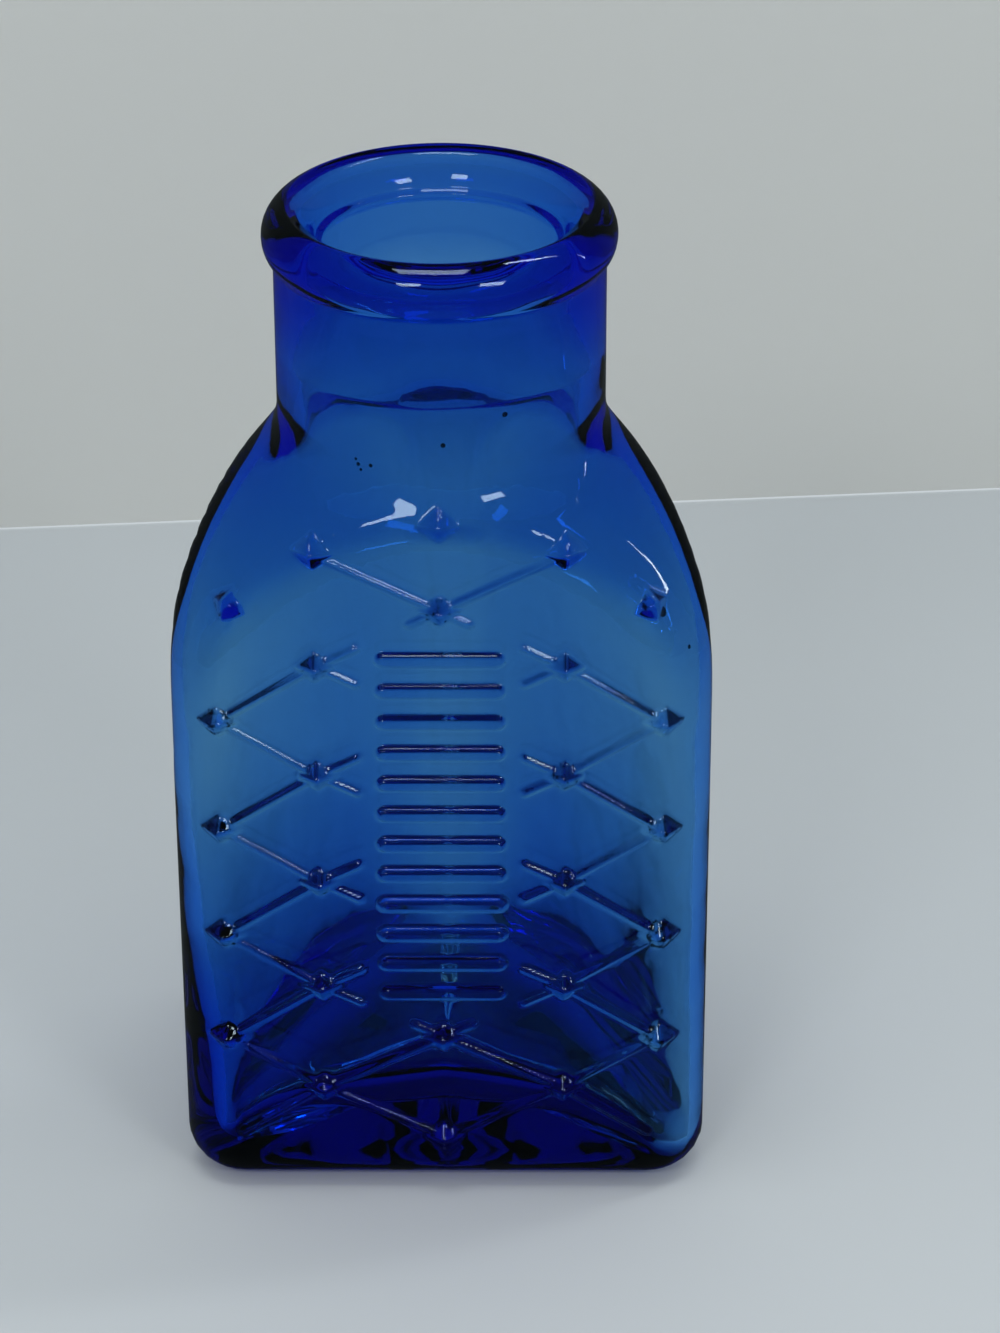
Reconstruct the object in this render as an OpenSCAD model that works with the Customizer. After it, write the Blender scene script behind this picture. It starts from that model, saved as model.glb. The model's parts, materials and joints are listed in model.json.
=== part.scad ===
// Three-sided glass bottle for poisonous tablets, with a studded front.
// Millimetres, +Z up. The origin is on the axis of the neck, in the plane of the base.
// One flat side faces -Y, and the third upright corner points to +Y.

/* [Body] */
// Width of a flat side, over its rounded corners
side_w = 44.7; // [40:0.1:54]
// Radius of the three upright corners
corner_r = 5; // [4.2:0.1:7]
// Radius of the outside edge round the base
heel_r = 4; // [1:0.1:4.8]
// Height at which the upright sides start to close in
shoulder_z = 44.5; // [34:0.5:58]
// How far the sphere of the shoulder passes outside the upright corners
shoulder_over = 0.3; // [0.1:0.1:1.5]
// Thickness of the sides and the shoulder
wall = 2.2; // [1.2:0.1:2.8]
// Thickness of the base
base_t = 6; // [3:0.1:9]
// Radius of the inside edge round the floor
floor_edge_r = 2; // [0.5:0.1:2.2]

/* [Neck and lip] */
// Height of the plain part of the neck
neck_h = 8.5; // [3:0.1:30]
// Outside radius of the neck
neck_r = 13.5; // [12.6:0.1:14.2]
// Thickness of the neck
neck_wall = 2.1; // [1.2:0.1:3]
// Radius of the hollow between neck and shoulder
neck_fillet = 3; // [1:0.1:5]
// How far the rounded lip stands out past the neck
lip_out = 0.9; // [0.5:0.1:2]
// Height of the rounded lip
lip_h = 5.5; // [4.6:0.1:7]
// Width of the rim, from the mouth's edge to the outside of the lip
rim_w = 2; // [1.4:0.1:2.7]
// Height of the funnel that leads from the mouth to the throat
funnel_h = 3; // [1:0.1:4]
// Radius of the throat, where a cork is pressed in
throat_r = 9.7; // [8:0.1:10.3]
// Height of the throat
throat_h = 5; // [3:0.1:7]

/* [Studs and ridges] */
// Height of the lowest stud, which is on the middle line of the front
first_stud_z = 5.5; // [5.2:0.1:8]
// Height from one row of studs to the next
row_step = 5.1; // [4.4:0.1:6.5]
// Distance of the inner columns of studs from the middle line
inner_x = 10.15; // [9:0.05:11]
// Distance of the outer columns of studs from the middle line
outer_x = 18.2; // [16.5:0.1:18.6]
// Distance of the two studs on the shoulder from the middle line
shoulder_stud_x = 17.2; // [16:0.1:18]
// Height of those two studs above the outer end of the arch
shoulder_stud_rise = 2.9; // [2:0.1:4]
// Distance of the highest stud from the top of the arch
top_stud_drop = 0.8; // [0.4:0.1:2]
// Width of a stud
stud_w = 3.3; // [2.2:0.1:3.8]
// Height of a stud's outline on the front
stud_l = 2.8; // [2:0.1:3.4]
// How far a stud stands out
stud_out = 1.2; // [0.5:0.1:2]
// Width of a ridge
ridge_w = 0.8; // [0.4:0.1:1.4]
// How far a ridge stands out
ridge_out = 0.4; // [0.2:0.05:0.45]
// Sideways length of the short ridges that point at the column of bars
stub_x = 3.3; // [2.2:0.1:4]
// Sideways length of the short ridges on the middle line
centre_stub_x = 2.4; // [1.9:0.1:4]

/* [Bars] */
// Length of a raised bar
bar_l = 10.6; // [8:0.1:12]
// Width of a raised bar
bar_w = 1.4; // [0.8:0.1:2]
// Height from one bar to the next
bar_step = 2.9; // [2.4:0.1:4]
// How far a bar stands out
bar_out = 0.6; // [0.3:0.05:1]
// Clear height between the end bars and the studs beyond them
bar_gap = 1.4; // [0.4:0.1:3]

/* [Hidden] */
$fn = 96;

glass_color = "#1f57a8";
raised_color = "#3f7cc4";

// The three centres of the upright corners make an equal-sided triangle
centres_w = side_w - 2 * corner_r;
centres_in = centres_w / (2 * sqrt(3));
centres_out = centres_w / sqrt(3);
front_y = -(centres_in + corner_r);

// The shoulder is a sphere round the axis, which a hollow joins to the neck
dome_r = centres_out + corner_r + shoulder_over;
neck_in_r = neck_r - neck_wall;
function hollow_z(ball_r, tube_r, hollow_r) =
    shoulder_z + sqrt(pow(ball_r + hollow_r, 2) - pow(tube_r + hollow_r, 2));
neck_z = max(hollow_z(dome_r, neck_r, neck_fillet),
             hollow_z(dome_r - wall, neck_in_r, neck_fillet + wall));

// The lip stands on the neck: a step in to the throat, the throat, then the funnel
lip_z = neck_z + neck_h;
throat_z = lip_z + neck_in_r - throat_r;
throat_top = throat_z + throat_h;
bottle_h = throat_top + funnel_h;

// The rounded outside of the lip is a ring of round section that the mouth cuts
lip_r = neck_r + lip_out;
mouth_r = lip_r - rim_w;
bead_r = lip_h / 2;
bead_x = lip_r - bead_r;
bead_z = bottle_h - sqrt(pow(bead_r, 2) - pow(mouth_r - bead_x, 2));

// The flat front ends at an arch, where the sphere of the shoulder cuts it
arch_r = sqrt(pow(dome_r, 2) - pow(front_y, 2));
function arch_z(x) = shoulder_z + sqrt(pow(arch_r, 2) - pow(x, 2));
function row_z(row) = first_stud_z + row * row_step;
function last_row(x) = floor((arch_z(x) - first_stud_z) / row_step);
inner_last = last_row(inner_x);
outer_last = last_row(outer_x);

// The highest stud sits just under the arch, and the other centre studs keep clear of it
top_stud_z = arch_z(0) - top_stud_drop;
low_centre = 2;
high_centre = 2 * floor((top_stud_z - 1.5 * stud_l - first_stud_z) / (2 * row_step));

// The bars fill the middle line between the second and the last centre stud
band_low = row_z(low_centre) + stud_l / 2 + bar_gap + bar_w / 2;
band_high = row_z(high_centre) - stud_l / 2 - bar_gap - bar_w / 2;
bar_count = floor((band_high - band_low) / bar_step) + 1;
first_bar_z = (band_low + band_high - (bar_count - 1) * bar_step) / 2;

// How far a cutter passes through a face, and how deep a stud is rooted before it is trimmed
past = 1;
root = 3;

function corner(i) = centres_out * [cos(90 + 120 * i), sin(90 + 120 * i), 0];

// An upright post with a rounded foot
module post(r, foot_r, h) {
    rotate_extrude() {
        translate([0, foot_r]) square([r, h - foot_r]);
        square([r - foot_r, h]);
        intersection() {
            translate([r - foot_r, foot_r]) circle(foot_r);
            square([r, h]);
        }
    }
}

// The strip between two posts, with the same rounded foot along its outside
module strip(r, foot_r, h) {
    translate([-centres_w / 2, -centres_in, 0]) rotate([90, 0, 90]) linear_extrude(centres_w) {
        translate([-r, foot_r]) square([r, h - foot_r]);
        translate([foot_r - r, 0]) square([r - foot_r, h]);
        intersection() {
            translate([foot_r - r, foot_r]) circle(foot_r);
            translate([-r, 0]) square([r, h]);
        }
    }
}

// A three-sided column with round corners and a rounded foot
module column(r, foot_r, h) {
    linear_extrude(h) polygon([for (i = [0:2]) [corner(i).x, corner(i).y]]);
    for (i = [0:2]) {
        translate(corner(i)) post(r, foot_r, h);
        rotate(120 * i) strip(r, foot_r, h);
    }
}

// A solid of revolution that is wide below the shoulder, then a ball, a hollow and a tube
module shoulder_form(ball_r, tube_r, hollow_r, top) {
    z = hollow_z(ball_r, tube_r, hollow_r);
    reach = dome_r + past;
    rotate_extrude() {
        square([reach, shoulder_z]);
        intersection() {
            translate([0, shoulder_z]) circle(ball_r);
            square([reach, bottle_h]);
        }
        difference() {
            polygon([[0, shoulder_z], [tube_r + hollow_r, z], [0, z]]);
            translate([tube_r + hollow_r, z]) circle(hollow_r);
        }
        translate([0, shoulder_z]) square([tube_r, top - shoulder_z]);
    }
}

// The body without its hollow, which the studs are trimmed against
module body_form() {
    intersection() {
        column(corner_r, heel_r, neck_z);
        shoulder_form(dome_r, neck_r, neck_fillet, neck_z);
    }
}

module body_hollow() {
    intersection() {
        translate([0, 0, base_t]) column(corner_r - wall, floor_edge_r, neck_z + past - base_t);
        shoulder_form(dome_r - wall, neck_in_r, neck_fillet + wall, neck_z + past);
    }
}

// The blown body: base, three sides and shoulder
module body() {
    color(glass_color) difference() {
        body_form();
        body_hollow();
    }
}

// The plain tube between the shoulder and the lip
module neck() {
    color(glass_color) translate([0, 0, neck_z]) difference() {
        cylinder(r = neck_r, h = lip_z - neck_z);
        translate([0, 0, -past]) cylinder(r = neck_in_r, h = lip_z - neck_z + 2 * past);
    }
}

// The tooled lip: a rounded ring, the funnel of the mouth and the throat for the cork
module lip() {
    color(glass_color) rotate_extrude() difference() {
        union() {
            translate([0, lip_z]) square([neck_r, bead_z - lip_z]);
            translate([bead_x, bead_z]) circle(bead_r);
        }
        polygon([[0, lip_z - past], [neck_in_r, lip_z - past], [neck_in_r, lip_z],
                 [throat_r, throat_z], [throat_r, throat_top], [mouth_r, bottle_h],
                 [mouth_r, bottle_h + past], [0, bottle_h + past]]);
    }
}

// A bar of the given section that lies along X and is centred, with its crest towards -Y
module along_x(length) {
    rotate([90, 0, 90]) linear_extrude(length, center = true) children();
}

// One four-sided stud that points to -Y, with a root behind its outline
module stud() {
    half_w = stud_w / 2;
    half_l = stud_l / 2;
    slope = atan2(half_l, half_w);
    reach = half_w * half_l / sqrt(pow(half_w, 2) + pow(half_l, 2));
    section = [[root, -reach], [root, reach], [0, reach], [-stud_out, 0], [0, -reach]];
    intersection() {
        rotate([0, -slope, 0]) along_x(2 * stud_w) polygon(section);
        rotate([0, slope, 0]) along_x(2 * stud_w) polygon(section);
    }
}

module stud_at(x, z) {
    translate([x, front_y, z]) stud();
}

// A stud on the round shoulder, square to the sphere
module shoulder_stud(side) {
    x = side * shoulder_stud_x;
    up = arch_z(outer_x) + shoulder_stud_rise - shoulder_z;
    y = -sqrt(pow(dome_r, 2) - pow(x, 2) - pow(up, 2));
    translate([x, y, shoulder_z + up]) rotate([-asin(up / dome_r), 0, atan2(y, x) + 90]) stud();
}

module rooted_studs() {
    for (row = [0, low_centre, high_centre]) stud_at(0, row_z(row));
    stud_at(0, top_stud_z);
    for (side = [-1, 1]) {
        for (row = [1:2:inner_last]) stud_at(side * inner_x, row_z(row));
        for (row = [2:2:outer_last]) stud_at(side * outer_x, row_z(row));
        shoulder_stud(side);
    }
}

// The pointed studs that warn the hand in the dark
module studs() {
    color(raised_color) difference() {
        rooted_studs();
        body_form();
    }
}

// A point on the line from a to b, at the given sideways distance from a
function toward(a, b, sideways) = a + (b - a) * sideways / abs(b.x - a.x);

// A ridge of triangular section between two points of the flat front
module ridge(a, b) {
    middle = (a + b) / 2;
    slope = atan2(b.y - a.y, b.x - a.x);
    translate([middle.x, front_y, middle.y]) rotate([0, -slope, 0]) along_x(norm(b - a))
        polygon([[0, -ridge_w / 2], [0, ridge_w / 2], [-ridge_out, 0]]);
}

// The slanting ridges on one half of the front, from stud to stud
module ridge_lines(side) {
    edge_x = min(outer_x, centres_w / 2);
    for (row = [1:2:inner_last]) {
        inner = [side * inner_x, row_z(row)];
        for (step = [-1, 1]) {
            outer = [side * outer_x, row_z(row + step)];
            centre = [0, row_z(row + step)];
            in_band = min(row, row + step) >= low_centre && max(row, row + step) <= high_centre;
            if (row + step <= outer_last) ridge(inner, toward(inner, outer, edge_x - inner_x));
            if (in_band) ridge(inner, toward(inner, centre, stub_x));
            if (!in_band && row + step <= high_centre) ridge(inner, centre);
        }
    }
    for (row = [low_centre, high_centre]) {
        step = row == low_centre ? 1 : -1;
        centre = [0, row_z(row)];
        ridge(centre, toward(centre, [side * inner_x, row_z(row + step)], centre_stub_x));
    }
}

// The thin ridges that tie the studs into a net
module ridges() {
    color(raised_color) difference() {
        for (side = [-1, 1]) ridge_lines(side);
        rooted_studs();
    }
}

// The column of plain bars down the middle of the front
module bars() {
    color(raised_color) for (i = [0:bar_count - 1])
        translate([0, front_y, first_bar_z + i * bar_step]) rotate([90, 0, 0]) linear_extrude(bar_out) {
            square([bar_l - bar_w, bar_w], center = true);
            for (side = [-1, 1]) translate([side * (bar_l - bar_w) / 2, 0]) circle(bar_w / 2);
        }
}

body();
neck();
lip();
studs();
ridges();
bars();
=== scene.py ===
# %% [markdown]
# # A cobalt glass bottle for poisonous tablets
# The real bottle was blown into a hinged mould, and its lip was shaped with a tool afterwards.
# It is one skin of glass: an outside with studs and ridges, and an inside that only the air shaped.
# Glass bends light at each of its surfaces, so separate pieces that touch or overlap would show
# false seams. That is why the whole bottle is made here as one closed skin.
#
# Lengths are in millimetres while the skin is shaped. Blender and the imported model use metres, so
# the finished mesh is scaled once.

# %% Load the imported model
import json
import math

import bmesh
import bpy
import numpy as np
from mathutils import Matrix, Vector

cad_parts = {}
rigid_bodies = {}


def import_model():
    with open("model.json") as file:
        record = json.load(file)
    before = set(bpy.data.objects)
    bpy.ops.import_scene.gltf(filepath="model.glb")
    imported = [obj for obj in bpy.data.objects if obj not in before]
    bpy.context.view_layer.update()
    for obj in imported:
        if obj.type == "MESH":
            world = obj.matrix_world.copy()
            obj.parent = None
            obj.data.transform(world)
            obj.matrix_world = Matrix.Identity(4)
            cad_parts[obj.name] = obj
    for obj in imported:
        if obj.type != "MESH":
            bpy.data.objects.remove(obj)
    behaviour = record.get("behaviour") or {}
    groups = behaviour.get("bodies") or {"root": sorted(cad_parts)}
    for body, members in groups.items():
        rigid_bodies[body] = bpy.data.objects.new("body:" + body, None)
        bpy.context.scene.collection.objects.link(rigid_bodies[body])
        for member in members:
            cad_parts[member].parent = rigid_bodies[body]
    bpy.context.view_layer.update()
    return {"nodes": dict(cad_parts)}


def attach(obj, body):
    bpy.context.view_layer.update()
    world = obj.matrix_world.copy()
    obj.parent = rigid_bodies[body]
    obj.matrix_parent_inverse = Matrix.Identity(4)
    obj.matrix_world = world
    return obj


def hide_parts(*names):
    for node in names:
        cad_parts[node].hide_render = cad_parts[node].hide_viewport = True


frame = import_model()
print("CAD nodes:", sorted(frame["nodes"]))

# %% [markdown]
# ## Camera
# The photograph looks down on the bottle from about 40 cm away, through a long lens. The place,
# the tilt and the lens were fitted to the studs, the rim and the outline in it. A camera in
# Blender looks along its own -Z, so its matrix holds right, up and backwards.

# %% Place the camera
MM = 0.001
PHOTO_WIDTH_PX = 1000
FOCAL_PX = 4423.1
SENSOR_MM = 36
PITCH, YAW, ROLL = (math.radians(a) for a in (28.643, -0.47, -0.171))
AIM = Vector((4.755, 0, 43.205)) * MM
DISTANCE = 374.971 * MM

forward = Vector((math.sin(YAW) * math.cos(PITCH), math.cos(YAW) * math.cos(PITCH), -math.sin(PITCH)))
level_right = forward.cross(Vector((0, 0, 1))).normalized()
level_up = level_right.cross(forward)
right = math.cos(ROLL) * level_right + math.sin(ROLL) * level_up
up = math.cos(ROLL) * level_up - math.sin(ROLL) * level_right

camera = bpy.data.objects.new("camera", bpy.data.cameras.new("camera"))
camera.data.sensor_fit = "HORIZONTAL"
camera.data.sensor_width = SENSOR_MM
camera.data.lens = SENSOR_MM * FOCAL_PX / PHOTO_WIDTH_PX
camera_turn = Matrix((right, up, -forward)).transposed().to_4x4()
camera.matrix_world = Matrix.Translation(AIM - DISTANCE * forward) @ camera_turn
bpy.context.scene.collection.objects.link(camera)
bpy.context.scene.camera = camera
print("camera at", [round(c / MM) for c in camera.matrix_world.translation], "mm")

# %% [markdown]
# ## Outline of the body
# Seen from above, the body is a triangle with round corners. A distance along that outline, in
# millimetres from the middle of the rear corner, is one of the two coordinates of the skin. It
# is called s. A bevelled prism would give the same outside, but the inside has to know which
# face or corner it lies under, and s says that.

# %% Points along the outline
SIDE_W = 44.7
CORNER_R = 5
STRAIGHT = SIDE_W - 2 * CORNER_R
ARC = 2 * math.pi / 3 * CORNER_R
THIRD = STRAIGHT + ARC
GIRTH = 3 * THIRD
FRONT_Y = -(STRAIGHT / (2 * math.sqrt(3)) + CORNER_R)


def outline(s):
    """Points of the outline at the distances s, and its outward normals there."""
    third = np.floor((s + ARC / 2) / THIRD)
    past = (s + ARC / 2) - third * THIRD
    turn = np.minimum(past, ARC) / ARC * 120 - 60
    normal_angle = np.radians(90 + 120 * third + turn)
    normal = np.stack([np.cos(normal_angle), np.sin(normal_angle)], 1)
    corner_angle = np.radians(90 + 120 * third)
    centre = STRAIGHT / math.sqrt(3) * np.stack([np.cos(corner_angle), np.sin(corner_angle)], 1)
    run = np.maximum(past - ARC, 0)[:, None]
    tangent = np.stack([-normal[:, 1], normal[:, 0]], 1)
    return centre + CORNER_R * normal + run * tangent, normal


print("girth of the body:", round(GIRTH, 1), "mm")

# %% [markdown]
# ## Profile of the skin
# The other coordinate is called t. It runs from the middle of the base, round the heel, up the
# outside, over the lip and down the inside to the middle of the floor, and each part of the way
# has one unit of it. The shoulder is part of a sphere that a small hollow joins to the neck.
# The lip is a rolled bead with a funnel in it, and the funnel ends in a low ring. These parts are
# round, so they are lines of radius and height that could be spun, and the triangle of the body
# gives way to them.

# %% Lines of the shoulder
SHOULDER_Z = 44.5
DOME_R = 25.33
NECK_R = 13.5
HOLLOW_R = 5
INNER_DOME_R = 24.35
INNER_DOME_Z = 42.4
NECK_IN_R = 11.3
INNER_HOLLOW_R = 7


def arc(centre, radius, start, end, count):
    """Points (r, z) on an arc, with its angles in degrees."""
    angle = np.radians(np.linspace(start, end, count))
    return np.stack([centre[0] + radius * np.cos(angle), centre[1] + radius * np.sin(angle)], 1)


def shoulder_line(ball, ball_z, tube, hollow):
    """The sphere of a shoulder and the hollow that joins it to a tube, from below."""
    rise = math.sqrt((ball + hollow) ** 2 - (tube + hollow) ** 2)
    turn = math.degrees(math.atan2(rise, tube + hollow))
    start = math.degrees(math.asin((SHOULDER_Z - ball_z) / ball))
    ball_part = arc((0, ball_z), ball, start, turn, 300)
    hollow_part = arc((tube + hollow, ball_z + rise), hollow, 180 + turn, 180, 40)
    return np.concatenate([ball_part, hollow_part[1:]])


outer_shoulder = shoulder_line(DOME_R, SHOULDER_Z, NECK_R, HOLLOW_R)
inner_shoulder = shoulder_line(INNER_DOME_R, INNER_DOME_Z, NECK_IN_R, INNER_HOLLOW_R)
shoulder_ends = [round(float(line[-1][1]), 2) for line in (outer_shoulder, inner_shoulder)]
print("shoulder ends, outside and inside:", shoulder_ends, "mm")

# %% Line of the neck and the lip
# Each pair is a radius and a height. The bead's arc ends where the funnel starts.
BEAD = (11.65, 83.08)
BEAD_R = 2.75
BEAD_END = 73
CREASE_R = 0.5
FUNNEL = [(11.5, 85.2), (10.9, 84.5), (10.4, 83.8), (10.1, 83.2), (10.0, 82.8)]
THROAT_RING = [(9.5, 82.4), (9.5, 82.1)]
NECK_INSIDE = [(10.0, 81.6), (10.1, 78.5), (10.6, 76.0), (NECK_IN_R, 73.0)]
LIP_SOFTNESS = 0.12
SOFT_STEP = 0.05


def run_length(line):
    """How far each point of a line is from its start, measured along it."""
    return np.concatenate([[0], np.cumsum(np.hypot(*np.diff(line, axis=0).T))])


def soft_line(points, softness):
    """The same line with its corners rounded: a moving average over short steps."""
    points = np.array(points, float)
    length = run_length(points)
    even = np.linspace(0, length[-1], int(length[-1] / SOFT_STEP))
    fine = np.stack([np.interp(even, length, points[:, i]) for i in (0, 1)], 1)
    reach = int(3 * softness / SOFT_STEP)
    kernel = np.exp(-0.5 * (np.arange(-reach, reach + 1) * SOFT_STEP / softness) ** 2)
    before = 2 * fine[0] - fine[reach:0:-1]
    after = 2 * fine[-1] - fine[-2 : -reach - 2 : -1]
    padded = np.concatenate([before, fine, after])
    return np.stack([np.convolve(padded[:, i], kernel / kernel.sum(), "valid") for i in (0, 1)], 1)


lean = math.degrees(math.acos((NECK_R - BEAD[0] + CREASE_R) / (BEAD_R + CREASE_R)))
crease_z = BEAD[1] - (BEAD_R + CREASE_R) * math.sin(math.radians(lean))
crease = arc((NECK_R + CREASE_R, crease_z), CREASE_R, 180, 180 - lean, 8)
bead = arc(BEAD, BEAD_R, -lean, BEAD_END, 40)
lip_points = [outer_shoulder[-1:], crease, bead, FUNNEL, THROAT_RING, NECK_INSIDE, inner_shoulder[-1:]]
lip_line = soft_line(np.concatenate(lip_points), LIP_SOFTNESS)
print("top of the lip:", round(lip_line[:, 1].max(), 2), "mm, throat", round(lip_line[:, 0].min(), 2), "mm")

# %% [markdown]
# ## Thickness of the glass
# The mould shapes the outside only. The inside is where the air stopped, so the wall varies:
# thin at the shoulder, thicker low down, thick in the middle of the floor and thin at its
# corners. One lower corner of this bottle holds a heavy lump of glass and the other very little.
# Light that passes the rounded inner edge of the floor is turned away, which draws a dark arch.
# A Solidify modifier would make an even wall, and none of this would show. So the inside is
# worked out from short tables, which pair heights or distances with thicknesses.

# %% Thickness of the walls
# Each table pairs heights with the thickness there. A corner counts fully within its core.
WALL_ON_FACE = ([4, 15, 30, 44, 60], [3.7, 2.8, 1.9, 1.5, 1.8])
WALL_AT_REAR = ([0, 20, 44], [1.9, 1.6, 1.3])
WALL_AT_LEFT = ([0, 12, 24, 40], [3.4, 3.2, 1.8, 1.1])
WALL_AT_RIGHT = ([0, 20, 44], [1.1, 1.4, 1.1])
REAR, LEFT, RIGHT = range(3)
CORNER_CORE = 4
CORNER_REACH = 17


def ease(share):
    """Nought to one, with a soft start and end."""
    return share * share * (3 - 2 * share)


def near_corner(s, corner):
    """One at an upright corner, falling to nought a little way along the faces beside it."""
    away = np.abs((s - corner * THIRD + GIRTH / 2) % GIRTH - GIRTH / 2)
    return ease(np.clip((CORNER_REACH - away) / (CORNER_REACH - CORNER_CORE), 0, 1))


def wall(s, z):
    """Thickness of the glass at the distance s along the outline and the height z."""
    thickness = np.interp(z, *WALL_ON_FACE)
    for corner, table in ((REAR, WALL_AT_REAR), (LEFT, WALL_AT_LEFT), (RIGHT, WALL_AT_RIGHT)):
        share = near_corner(s, corner)
        thickness = thickness * (1 - share) + np.interp(z, *table) * share
    return thickness


round_the_body = np.arange(0, 3, 0.5) * THIRD
print("wall at mid height, from the rear corner:", np.round(wall(round_the_body, 22.0), 2), "mm")

# %% Inner edge of the floor
# The edge is wide and high by the middle of a face, and small and low at the corners.
FLOOR_MIDDLE_Z = 6.5
FROM_FACE_MIDDLE = [0, 10, 15, 18, 23]
EDGE_RADIUS = [8.5, 7.2, 5.6, 3.6, 2.0]
EDGE_FOOT_Z = [5.3, 4.4, 3.2, 2.2, 1.8]
LUMP_H = 1.2
DEEPEST_AT_CORNER = 4.5
DEEPER_PER_MM = 1.5


def inner_edge(s):
    """Radius of the rounded edge inside the base, and height of the floor at its foot."""
    away = np.abs(s % THIRD - THIRD / 2)
    radius = np.interp(away, FROM_FACE_MIDDLE, EDGE_RADIUS)
    foot = np.interp(away, FROM_FACE_MIDDLE, EDGE_FOOT_Z)
    return radius, foot + LUMP_H * near_corner(s, LEFT)


def inset_limit(s):
    """The deepest the inside may lie under the outline without folding over at a corner."""
    away = np.abs((s + THIRD / 2) % THIRD - THIRD / 2)
    return DEEPEST_AT_CORNER + DEEPER_PER_MM * np.maximum(away - CORNER_CORE, 0)


print("floor at its foot, from the rear corner:", np.round(inner_edge(round_the_body)[1], 2), "mm")

# %% [markdown]
# ## Studs, ridges and bars
# The mould pressed warning marks into the front: pointed studs, thin ridges between them, and
# raised bars down the middle. They could be small meshes joined to the skin, but a join leaves
# creases that glass shows. So they are heights above the smooth front, and all have soft edges,
# because hot glass never fills the corner of a mould.

# %% Places of the studs
# The columns stand in the middle, at the inner x and at the outer x, on rows that take turns.
FIRST_STUD_Z = 5.5
ROW_STEP = 5.1
INNER_X = 10.15
OUTER_X = 18.2
SHOULDER_STUD_X = 17.2
SHOULDER_STUD_RISE = 2.9
TOP_STUD_DROP = 0.8
ARCH_R = math.sqrt(DOME_R**2 - FRONT_Y**2)
BOTH_SIDES = (-1, 1)


def row_z(row):
    return FIRST_STUD_Z + ROW_STEP * row


def on_front(x, z):
    return np.array([x, FRONT_Y, z])


top_stud_z = SHOULDER_Z + ARCH_R - TOP_STUD_DROP
flat_studs = [on_front(0, z) for z in (row_z(0), row_z(2), row_z(10), top_stud_z)]
for side in BOTH_SIDES:
    flat_studs += [on_front(side * INNER_X, row_z(row)) for row in range(1, 12, 2)]
    flat_studs += [on_front(side * OUTER_X, row_z(row)) for row in range(2, 9, 2)]

shoulder_up = math.sqrt(ARCH_R**2 - OUTER_X**2) + SHOULDER_STUD_RISE
shoulder_in = math.sqrt(DOME_R**2 - SHOULDER_STUD_X**2 - shoulder_up**2)
shoulder_studs = [
    np.array([side * SHOULDER_STUD_X, -shoulder_in, SHOULDER_Z + shoulder_up]) for side in BOTH_SIDES
]
all_studs = flat_studs + shoulder_studs
print(len(all_studs), "studs")

# %% Places of the ridges and the bars
# A ridge's run is how far sideways it goes. Those beside the bars stop short of them.
LOWEST_RIDGE_RUN = 7.2
SHORT_RIDGE_RUN = 3.3
STUB_RUN = 2.4
BAR_HALF = 4.6
FIRST_BAR_Z = 20.15
BAR_STEP = 2.9
BAR_COUNT = 12


def towards(a, b, sideways):
    """The point on the line from a to b that is this far sideways from a."""
    return a + (b - a) * sideways / abs(b[0] - a[0])


ridges = []
for side in BOTH_SIDES:
    for row in range(1, 12, 2):
        inner = on_front(side * INNER_X, row_z(row))
        for other in (row - 1, row + 1):
            outer = on_front(side * OUTER_X, row_z(other))
            centre = on_front(0, row_z(other))
            if other <= 8:
                run = OUTER_X - INNER_X if other > 1 else LOWEST_RIDGE_RUN
                ridges.append((inner, towards(inner, outer, run)))
            if 2 <= other <= 10 and 2 <= row <= 10:
                ridges.append((inner, towards(inner, centre, SHORT_RIDGE_RUN)))
            elif other <= 10:
                ridges.append((inner, centre))
    for row, other in ((2, 3), (10, 9)):
        centre = on_front(0, row_z(row))
        ridges.append((centre, towards(centre, on_front(side * INNER_X, row_z(other)), STUB_RUN)))

bar_heights = FIRST_BAR_Z + BAR_STEP * np.arange(BAR_COUNT)
bars = [(on_front(-BAR_HALF, z), on_front(BAR_HALF, z)) for z in bar_heights]
print(len(ridges), "ridges,", len(bars), "bars")

# %% Height of the studs
# The keels are the four edges of the pyramid, and soft is how far its foot spreads.
STUD_W, STUD_L, STUD_OUT = 3.3, 2.8, 1.2
STUD_SOFT = 0.07
STUD_FILL = 0.995
KEEL_X_R = 0.1
KEEL_Z_R = 0.08
STUD_REACH = 4
SHOULDER_STUD_SHARE = 0.6


def soft_above(height, softness):
    """The height where it is above nought, with a soft foot."""
    return (height + np.sqrt(height * height + softness * softness)) / 2


def stud_height(points, middle, across, along, out):
    """A pyramid of four sides, with its keels and its foot rounded."""
    offset = points - middle
    x = np.sqrt((offset @ across) ** 2 + KEEL_X_R**2) - KEEL_X_R
    z = np.sqrt((offset @ along) ** 2 + KEEL_Z_R**2) - KEEL_Z_R
    height = out * soft_above(STUD_FILL - x / (STUD_W / 2) - z / (STUD_L / 2), STUD_SOFT)
    return np.where(np.linalg.norm(offset, axis=1) < STUD_REACH, height, 0)


def studs_at(points):
    """Height of the highest stud at each point. The two on the shoulder lean with it."""
    height = np.zeros(len(points))
    for middle in flat_studs:
        stud = stud_height(points, middle, np.array([1, 0, 0]), np.array([0, 0, 1]), STUD_OUT)
        height = np.maximum(height, stud)
    for middle in shoulder_studs:
        outward = (middle - (0, 0, SHOULDER_Z)) / DOME_R
        across = np.cross((0, 0, 1), outward)
        across /= np.linalg.norm(across)
        along = np.cross(outward, across)
        stud = stud_height(points, middle, across, along, SHOULDER_STUD_SHARE * STUD_OUT)
        height = np.maximum(height, stud)
    return height


print("a stud stands", round(float(studs_at(np.array([flat_studs[0]]))[0]), 2), "mm high")

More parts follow.
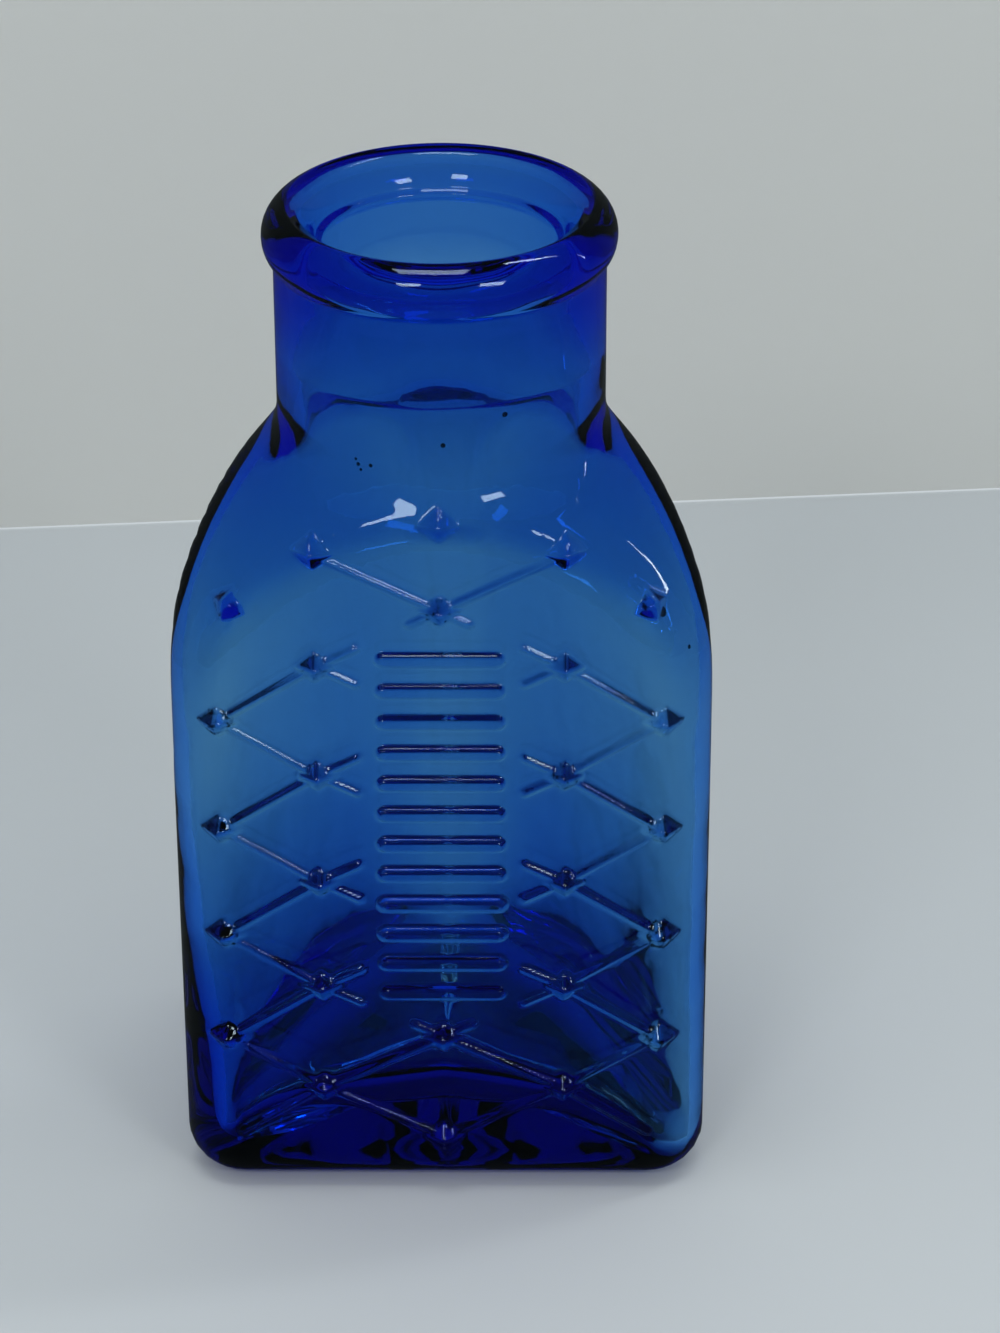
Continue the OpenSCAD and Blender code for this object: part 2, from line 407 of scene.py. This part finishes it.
# %% Height of all the marks
# Out is the height, and room is how far a mark reaches from its own line or middle.
RIDGE_OUT = 0.42
RIDGE_HALF = 0.45
RIDGE_SOFT = 0.15
BAR_OUT = 0.6
BAR_EDGE = 0.78
BAR_SLOPE = 0.4
RIDGE_ROOM, BAR_ROOM, STUD_ROOM = 0.5, 0.8, 1.7


def from_line(points, a, b):
    """Distance of each point from the line between a and b."""
    share = np.clip((points - a) @ (b - a) / ((b - a) @ (b - a)), 0, 1)
    return np.linalg.norm(points - a - share[:, None] * (b - a), axis=1)


def relief(points):
    """Height of the marks at each point of the smooth front."""
    height = studs_at(points)
    for a, b in ridges:
        ridge = RIDGE_OUT * soft_above(1 - from_line(points, a, b) / RIDGE_HALF, RIDGE_SOFT)
        height = np.maximum(height, ridge)
    for a, b in bars:
        bar = BAR_OUT * ease(np.clip((BAR_EDGE - from_line(points, a, b)) / BAR_SLOPE, 0, 1))
        height = np.maximum(height, bar)
    return height


def near_relief(points):
    """How far each point is from the nearest mark's outline, roughly."""
    away = [from_line(points, a, b) - RIDGE_ROOM for a, b in ridges]
    away += [from_line(points, a, b) - BAR_ROOM for a, b in bars]
    away += [np.linalg.norm(points - middle, axis=1) - STUD_ROOM for middle in all_studs]
    return np.min(away, axis=0)


print("a bar stands", round(float(relief(np.array([bars[0][0]]))[0]), 2), "mm high")

# %% [markdown]
# ## The skin
# A flat grid is the blank. Its two directions are s, round the body, and t, along the profile. It
# is cut finer where the marks are, then every point goes to its place in space, and the edges
# that meet are welded. Both ends of the profile close in a single point. Wrapping one grid
# keeps the wall closed everywhere, which glass needs, because light has to leave it as it entered.

# %% Height and width of the profile
# The parts in their order along t. The sides lose the limit of the shoulder's sphere downwards.
BASE, HEEL, SIDE, SHOULDER, LIP, INNER_SHOULDER, INNER_SIDE, INNER_HEEL, FLOOR = range(9)
HEEL_R = 4
BASE_HOLLOW_H = 0.3
OPENING_OUT = 0.02
REAR_RING_Z = 66.5
REAR_RING_H = 2.0
REAR_RING_OUT = 1.0
WIDER_THAN_ALL = 99.0


def along_line(line, share):
    """The points (r, z) at these shares of a line's length."""
    length = run_length(line)
    return [np.interp(share * length[-1], length, line[:, i]) for i in (0, 1)]


def profile(s, part, share):
    """Height, inset from the outline, widest radius allowed, and scale towards the axis."""
    radius, foot = inner_edge(s)
    turn = share * math.pi / 2
    z = np.zeros(len(s))
    inset = np.zeros(len(s))
    cap = np.full(len(s), WIDER_THAN_ALL)
    scale = np.ones(len(s))

    here = part == BASE
    inset[here] = HEEL_R
    scale[here] = share[here]
    z[here] = BASE_HOLLOW_H * (1 - share[here] ** 2) ** 2
    here = part == HEEL
    inset[here] = HEEL_R * (1 - np.sin(turn[here]))
    z[here] = HEEL_R * (1 - np.cos(turn[here]))
    here = part == SIDE
    z[here] = HEEL_R + share[here] * (SHOULDER_Z - HEEL_R)
    cap[here] = DOME_R + OPENING_OUT * (SHOULDER_Z - z[here]) ** 2

    for index, line in ((SHOULDER, outer_shoulder), (LIP, lip_line), (INNER_SHOULDER, inner_shoulder[::-1])):
        here = part == index
        cap[here], z[here] = along_line(line, share[here])
    ring = near_corner(s, REAR)[here] * np.exp(-(((z[here] - REAR_RING_Z) / REAR_RING_H) ** 2))
    cap[here] -= REAR_RING_OUT * ring

    here = part == INNER_SIDE
    z[here] = SHOULDER_Z + share[here] * (foot + radius - SHOULDER_Z)[here]
    cap[here] = inner_shoulder[0][0] + OPENING_OUT * (SHOULDER_Z - z[here]) ** 2
    here = part == INNER_HEEL
    z[here] = (foot + radius * (1 - np.sin(turn)))[here]
    inset[here] = (radius * (1 - np.cos(turn)))[here]
    here = part == FLOOR
    z[here] = foot[here] + (FLOOR_MIDDLE_Z - foot[here]) * ease(share[here])
    inset[here] = radius[here]
    scale[here] = 1 - share[here]
    return z, inset, cap, scale


print("the inside opens out to", round(inner_shoulder[0][0], 2), "mm at the foot of the shoulder")

# %% Place of each point of the skin
# Soft is how widely the sphere and the triangle blend. The steps find which way is outwards.
CORNER_SOFT = 1.2
INNER_SOFT = 2.0
STEP_S = 0.01
STEP_T = 0.0002
MARKS_END = SHOULDER + 0.9
BEHIND_MARKS_Y = -5


def smooth_min(a, b, width):
    """The smaller of a and b, rounded where they are closer than width."""
    near = np.maximum(width - np.abs(a - b), 0) / width
    return np.minimum(a, b) - near * near * width / 4


def skin(s, t):
    """Points of the glass skin in millimetres, before the marks are raised."""
    part = np.minimum(np.floor(t), FLOOR).astype(int)
    z, inset, cap, scale = profile(s, part, t - part)
    inside = part >= INNER_SHOULDER
    inset = np.where(inside, np.minimum(inset + wall(s, z), inset_limit(s)), inset)
    edge, normal = outline(s)
    flat = edge - normal * inset[:, None]
    reach = np.linalg.norm(flat, axis=1)
    held = smooth_min(reach, cap, np.where(inside, INNER_SOFT, CORNER_SOFT))
    flat = flat * (scale * held / reach)[:, None]
    return np.column_stack([flat, z])


def raised(s, t):
    """The same points with the marks of the front raised on them."""
    points = skin(s, t)
    front = (t > SIDE) & (t < MARKS_END) & (points[:, 1] < BEHIND_MARKS_Y)
    beside = skin(s[front] + STEP_S, t[front]) - points[front]
    above = skin(s[front], t[front] + STEP_T) - points[front]
    outward = np.cross(beside, above)
    outward /= np.linalg.norm(outward, axis=1)[:, None]
    points[front] += outward * relief(points[front])[:, None]
    return points


front_middle = skin(np.array([GIRTH / 2]), np.array([SIDE + 0.5]))[0]
print("middle of the front, half way up:", np.round(front_middle, 2), "mm")

# %% Rows and columns of the grid
# Flat parts need few rows, and parts that bend need one for every few degrees.
BASE_ROWS, HEEL_ROWS, SIDE_ROWS = 5, 7, 42
INNER_SIDE_ROWS, INNER_HEEL_ROWS, FLOOR_ROWS = 24, 12, 8
CORNER_COLUMNS, PLAIN_COLUMNS, FRONT_COLUMNS = 9, 24, 36
HALF_CORNER_COLUMNS = 4


def even(count):
    return np.arange(count) / count


def even_rows(line, step, turn):
    """Shares of a line's length: one each step in mm, and one more each turn in degrees."""
    leg = np.diff(line, axis=0)
    length = np.hypot(*leg.T)
    heading = np.degrees(np.unwrap(np.arctan2(leg[:, 1], leg[:, 0])))
    weight = length / step + np.abs(np.diff(heading, prepend=heading[0])) / turn
    total = np.concatenate([[0], np.cumsum(weight)])
    count = math.ceil(total[-1])
    at = np.linspace(0, total[-1], count + 1)[:-1]
    return np.interp(at, total, np.concatenate([[0], np.cumsum(length)])) / length.sum()


row_shares = [
    even(BASE_ROWS),
    even(HEEL_ROWS),
    even(SIDE_ROWS),
    even_rows(outer_shoulder, step=1.05, turn=12),
    even_rows(lip_line, step=1.6, turn=8),
    even_rows(inner_shoulder[::-1], step=0.9, turn=12),
    even(INNER_SIDE_ROWS),
    even(INNER_HEEL_ROWS),
    np.append(even(FLOOR_ROWS), 1),
]
rows = np.concatenate([part + shares for part, shares in enumerate(row_shares)])
spans = [
    (0, HALF_CORNER_COLUMNS, ARC / 2),
    (ARC / 2, PLAIN_COLUMNS, STRAIGHT),
    (ARC / 2 + STRAIGHT, CORNER_COLUMNS, ARC),
    (THIRD + ARC / 2, FRONT_COLUMNS, STRAIGHT),
    (THIRD * 2 - ARC / 2, CORNER_COLUMNS, ARC),
    (THIRD * 2 + ARC / 2, PLAIN_COLUMNS, STRAIGHT),
    (GIRTH - ARC / 2, HALF_CORNER_COLUMNS, ARC / 2),
]
columns = np.append(np.concatenate([start + even(count) * span for start, count, span in spans]), GIRTH)
print(len(rows), "rows and", len(columns), "columns")

# %% Cut the blank
CUTS = 4
MARK_MARGIN = 0.75
bm = bmesh.new()
bmesh.ops.create_grid(bm, x_segments=len(columns) - 1, y_segments=len(rows) - 1, size=1)
for v in bm.verts:
    v.co.x = columns[round((v.co.x + 1) / 2 * (len(columns) - 1))]
    v.co.y = rows[round((v.co.y + 1) / 2 * (len(rows) - 1))]

middles = np.array([f.calc_center_median() for f in bm.faces])
marked = near_relief(skin(middles[:, 0], middles[:, 1])) < MARK_MARGIN
marked &= (middles[:, 1] > SIDE) & (middles[:, 1] < LIP)
to_cut = {e for f, near in zip(bm.faces, marked) if near for e in f.edges}
bmesh.ops.subdivide_edges(bm, edges=list(to_cut), cuts=CUTS, use_grid_fill=True)
print(int(marked.sum()), "faces of the grid cut finer")

# %% Wrap the blank into the bottle
WELD_MM = 1e-4
flat_co = np.array([v.co for v in bm.verts], float)
for v, place in zip(bm.verts, raised(flat_co[:, 0], flat_co[:, 1])):
    v.co = place
bmesh.ops.remove_doubles(bm, verts=bm.verts, dist=WELD_MM)
bmesh.ops.recalc_face_normals(bm, faces=bm.faces)
bmesh.ops.scale(bm, vec=(MM, MM, MM), verts=bm.verts)
open_edges = sum(len(e.link_faces) != 2 for e in bm.edges)
print("open edges:", open_edges, " glass:", round(bm.calc_volume() * 1e6, 2), "cm3")

glass_mesh = bpy.data.meshes.new("glass_bottle")
bm.to_mesh(glass_mesh)
bm.free()
glass_mesh.polygons.foreach_set("use_smooth", [True] * len(glass_mesh.polygons))
glass_bottle = bpy.data.objects.new("glass_bottle", glass_mesh)
bpy.context.scene.collection.objects.link(glass_bottle)
print("triangles:", sum(len(p.vertices) - 2 for p in glass_mesh.polygons))

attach(glass_bottle, "root")
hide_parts("body", "neck", "lip", "studs", "ridges", "bars")

# %% [markdown]
# ## Helpers for materials
# Colours are written as the hex values that a paint program shows. Blender works in linear
# light, so one function turns them. Another adds a node with its settings and the sockets that
# feed it, so that each material reads from top to bottom.

# %% Colour and node helpers
def srgb(hex_colour):
    """Linear colour of an sRGB hex value, with its alpha."""
    parts = [int(hex_colour[i : i + 2], 16) / 255 for i in (1, 3, 5)]
    return (*(c / 12.92 if c <= 0.04045 else ((c + 0.055) / 1.055) ** 2.4 for c in parts), 1)


def add_node(tree, kind, settings=None, links=None):
    """A new node, with its settings and the sockets that feed it, by name or by number."""
    node = tree.nodes.new(kind)
    for name, value in (settings or {}).items():
        if isinstance(name, int) or name in node.inputs:
            node.inputs[name].default_value = value
        else:
            setattr(node, name, value)
    for name, source in (links or {}).items():
        tree.links.new(source, node.inputs[name])
    return node


def new_material(name):
    material = bpy.data.materials.new(name)
    material.use_nodes = True
    material.node_tree.nodes.clear()
    return material


print("mid grey #808080 is", round(srgb("#808080")[0], 3), "in linear light")

# %% [markdown]
# ## Dirt and painted shade round the studs
# A ring round the foot of each stud is darkened with flecks: old dust and soil that sit where a
# cloth can't reach, and painted shade that makes the studs darker. There are also a few dark
# specks on the shoulder and a nick by one stud. They could be painted by hand, but the studs'
# places are known. So each vertex gets its share of dirt and painted shade from its distance
# to the studs, and the material reads that share.

# %% Where the dirt and the painted shade go
# The place and the radius of each speck, in millimetres. The last one is the nick.
SPECKS = [
    ((0.4, -13.5, 70.5), 0.16),
    ((5.3, -12.4, 72.7), 0.18),
    ((20.3, -13.1, 52.2), 0.16),
    ((-6.6, -11.8, 68.5), 0.1),
    ((-6.4, -11.9, 68.1), 0.13),
    ((-6.2, -12.1, 67.7), 0.1),
    ((-5.4, -12.4, 68.2), 0.13),
    ((18.0, -13.8, 55.8), 0.35),
]
DIRT_AND_SHADE_SEED = 4
LEAST_DIRT_AND_SHADE, MOST_DIRT_AND_SHADE = 0.4, 0.8
OUTER_EXTRA = 0.2
DIRT_AND_SHADE_RING_R = 1.1
DIRT_AND_SHADE_RING_W = 0.9

# Each stud gets a ring of dark flecks, stronger on the outer ones: dirt, and painted shade on the stud and
# at its foot.
rng = np.random.default_rng(DIRT_AND_SHADE_SEED)
skin_mm = np.array([v.co for v in glass_mesh.vertices]) / MM
dirt_and_shade = np.zeros(len(skin_mm))
for middle in all_studs:
    amount = rng.uniform(LEAST_DIRT_AND_SHADE, MOST_DIRT_AND_SHADE)
    if abs(middle[0]) > SHOULDER_STUD_X - 1:
        amount += OUTER_EXTRA
    away = np.linalg.norm(skin_mm - middle, axis=1)
    dirt_and_shade = np.maximum(dirt_and_shade, amount * np.clip(1 - np.abs(away - DIRT_AND_SHADE_RING_R) / DIRT_AND_SHADE_RING_W, 0, 1))
glass_mesh.attributes.new("dirt_and_shade", "FLOAT", "POINT").data.foreach_set("value", dirt_and_shade)
print("dirty vertices:", int((dirt_and_shade > 0.3).sum()))

# %% [markdown]
# ## Cobalt glass
# Soda-lime glass with a trace of cobalt, blown and fire-polished. It is clear and shiny, with an
# IOR of 1.52 and almost no roughness, and it swallows red and green on the way through. A
# surface colour would tint thin and thick parts alike, so the colour comes from what the glass
# absorbs along each ray, and thick parts go deep blue. The surface is nearly white: a faint
# yellow cast takes off a little blue, as the film on old glass does. It also waves a little,
# because it cooled in a rough iron mould.

# %% Dirt, specks and painted shade on the glass
# Real crumbs are finer than these flecks, but they wouldn't show in the picture. Round the studs the flecks
# are also painted shade.
FLECK_MM = 2 / 3
CLEAN_UP_TO = 0.36
DIRTY_AND_SHADED_FROM = 0.5
SPECK_FADE = 1.5

cobalt_glass = new_material("blown_cobalt_glass")
tree = cobalt_glass.node_tree
coordinates = add_node(tree, "ShaderNodeTexCoord").outputs["Object"]
dirt_and_shade_share = add_node(tree, "ShaderNodeAttribute", {"attribute_name": "dirt_and_shade"}).outputs["Fac"]
fleck_scale = {"Scale": 1 / (FLECK_MM * MM), "Detail": 2}
flecks = add_node(tree, "ShaderNodeTexNoise", fleck_scale, {"Vector": coordinates}).outputs["Fac"]
ring_of_dirt_and_shade = add_node(tree, "ShaderNodeMath", {"operation": "MULTIPLY"}, {0: dirt_and_shade_share, 1: flecks})
dark = ring_of_dirt_and_shade.outputs["Value"]
for place, radius in SPECKS:
    from_speck = {"operation": "DISTANCE", 1: Vector(place) * MM}
    gap = add_node(tree, "ShaderNodeVectorMath", from_speck, {0: coordinates})
    spot = add_node(
        tree,
        "ShaderNodeMapRange",
        {"From Min": radius * MM, "From Max": SPECK_FADE * radius * MM, "To Min": 1, "To Max": 0},
        {"Value": gap.outputs["Value"]},
    )
    both = {0: dark, 1: spot.outputs["Result"]}
    dark = add_node(tree, "ShaderNodeMath", {"operation": "MAXIMUM"}, both).outputs["Value"]
# The dark end of the ramp is dirt and specks, and round the studs it is also painted shade.
tint = add_node(tree, "ShaderNodeValToRGB", links={"Fac": dark})
clean, dirty_and_shaded = tint.color_ramp.elements
clean.position = CLEAN_UP_TO
clean.color = srgb("#ffffec")
dirty_and_shaded.position = DIRTY_AND_SHADED_FROM
dirty_and_shaded.color = srgb("#17150f")
print(len(SPECKS), "specks and nicks")

# %% Blown cobalt glass
# The waves of the surface are about 7 mm apart and far under a millimetre high.
RIPPLE_MM = 50 / 7
RIPPLE_H = 0.6
ripple_scale = {"Scale": 1 / (RIPPLE_MM * MM), "Detail": 1.5, "Roughness": 0.5}
ripple = add_node(tree, "ShaderNodeTexNoise", ripple_scale, {"Vector": coordinates}).outputs["Fac"]
bump = add_node(tree, "ShaderNodeBump", {"Strength": 0.2, "Distance": RIPPLE_H * MM}, {"Height": ripple})
surface = add_node(
    tree,
    "ShaderNodeBsdfPrincipled",
    {"IOR": 1.52, "Roughness": 0.02, "Transmission Weight": 1, "Specular Tint": (0.7, 0.9, 1, 1)},
    {"Normal": bump.outputs["Normal"], "Base Color": tint.outputs["Color"]},
)
depth = add_node(tree, "ShaderNodeVolumeAbsorption", {"Color": srgb("#77cefb"), "Density": 1100})
glass_sockets = {"Surface": surface.outputs["BSDF"], "Volume": depth.outputs["Volume"]}
add_node(tree, "ShaderNodeOutputMaterial", links=glass_sockets)
glass_mesh.materials.append(cobalt_glass)
print("finish of the bottle:", glass_mesh.materials[0].name, "in", len(tree.nodes), "nodes")

# %% [markdown]
# ## Table, board and light
# The bottle stands on a pale table before an upright white board. Clear glass shows what is
# behind it, and its outside mirrors the room in front. The real room was darker than the board,
# so whatever the outside of the glass mirrors is dimmed here, and what shines through it isn't.
# The board shows from its front only, so that it doesn't hide the bottle in views from behind.
# One soft lamp hangs over the bottle, a long one stands to the right, and two small ones in
# front give the bright spots on lip and shoulder. A pale surround fills the rest.

# %% Table and board
MIRRORED_PAINT = "#454a4b"
TABLE_Z = -0.0002
BOARD_Y = 0.116
BOARD_TURN = 5.2


def mirror_ray(tree):
    """One for a ray that the outside of the glass reflects, nought for one that it lets through."""
    rays = add_node(tree, "ShaderNodeLightPath").outputs
    subtract = {"operation": "SUBTRACT", "use_clamp": True}
    sockets = {0: rays["Is Glossy Ray"], 1: rays["Is Transmission Ray"]}
    return add_node(tree, "ShaderNodeMath", subtract, sockets).outputs["Value"]


def stage_sheet(name, width, depth, place, colour):
    """A plain sheet of the set, with a matt finish that shows from one side."""
    sheet = bmesh.new()
    bmesh.ops.create_grid(sheet, x_segments=1, y_segments=1, size=0.5)
    bmesh.ops.scale(sheet, vec=(width, depth, 1), verts=sheet.verts)
    bmesh.ops.transform(sheet, matrix=place, verts=sheet.verts)
    mesh = bpy.data.meshes.new(name)
    sheet.to_mesh(mesh)
    sheet.free()

    material = new_material(name + "_paint")
    tree = material.node_tree
    paint = add_node(tree, "ShaderNodeBsdfDiffuse", {"Color": srgb(colour)}).outputs["BSDF"]
    dimmed = add_node(tree, "ShaderNodeBsdfDiffuse", {"Color": srgb(MIRRORED_PAINT)}).outputs["BSDF"]
    seen = add_node(tree, "ShaderNodeMixShader", links={0: mirror_ray(tree), 1: paint, 2: dimmed})
    behind = add_node(tree, "ShaderNodeNewGeometry").outputs["Backfacing"]
    clear = add_node(tree, "ShaderNodeBsdfTransparent").outputs["BSDF"]
    one_sided = add_node(tree, "ShaderNodeMixShader", links={0: behind, 1: seen.outputs["Shader"], 2: clear})
    add_node(tree, "ShaderNodeOutputMaterial", links={"Surface": one_sided.outputs["Shader"]})
    mesh.materials.append(material)
    thing = bpy.data.objects.new(name, mesh)
    bpy.context.scene.collection.objects.link(thing)


upright = Matrix.Rotation(math.radians(90), 4, "X")
board_turn = Matrix.Rotation(math.radians(BOARD_TURN), 4, "Z")
stage_sheet("table", 3, 3, Matrix.Translation((0, 0, TABLE_Z)), "#c8cfd3")
stage_sheet("board", 1.2, 0.6, Matrix.Translation((0, BOARD_Y, 0.3)) @ board_turn @ upright, "#d6d9d6")
print("board", round(BOARD_Y / MM), "mm behind the neck, turned", BOARD_TURN, "degrees")

# %% Lamps
LAMPS_AIM = Vector((0, 0, 0.06))


def lamp(name, size, direction, along, away, radiance):
    """A flat soft box that faces the bottle, with its long side along the given direction."""
    light = bpy.data.lights.new(name, "AREA")
    light.shape = "RECTANGLE"
    light.size, light.size_y = size
    light.energy = radiance * math.pi * size[0] * size[1]
    thing = bpy.data.objects.new(name, light)
    back = Vector(direction).normalized()
    across = (Vector(along) - back * back.dot(Vector(along))).normalized()
    turn = Matrix((across, back.cross(across), back)).transposed().to_4x4()
    thing.matrix_world = Matrix.Translation(LAMPS_AIM + away * back) @ turn
    bpy.context.scene.collection.objects.link(thing)
    print(name, round(light.energy, 2), "W")


lamp("lamp_over", (0.36, 0.22), (-0.05, -0.12, 0.98), (1, 0, 0), 0.8, 5)
lamp("lamp_right", (1.3, 0.1), (0.8, 0.3, 0.7), (1.3, 0.4, 0), 1.1, 12)
lamp("lamp_front_left", (0.2, 0.14), (-0.27, -0.75, 0.6), (1, 0, 0), 0.85, 9)
lamp("lamp_front_right", (0.2, 0.14), (0.5, -0.7, 0.5), (1, 0, 0), 0.85, 9)

# %% Pale surround
SURROUND = 0.62
MIRRORED_SURROUND = 0.06
world = bpy.data.worlds.new("pale_surround")
world.use_nodes = True
tree = world.node_tree
tree.nodes.clear()
levels = {"To Min": SURROUND, "To Max": MIRRORED_SURROUND}
strength = add_node(tree, "ShaderNodeMapRange", levels, {"Value": mirror_ray(tree)}).outputs["Result"]
glow = add_node(tree, "ShaderNodeBackground", {"Color": srgb("#f4f6f7")}, {"Strength": strength})
add_node(tree, "ShaderNodeOutputWorld", links={"Surface": glow.outputs["Background"]})
bpy.context.scene.world = world
bpy.context.scene.view_settings.view_transform = "Standard"
print("surround:", world.name)
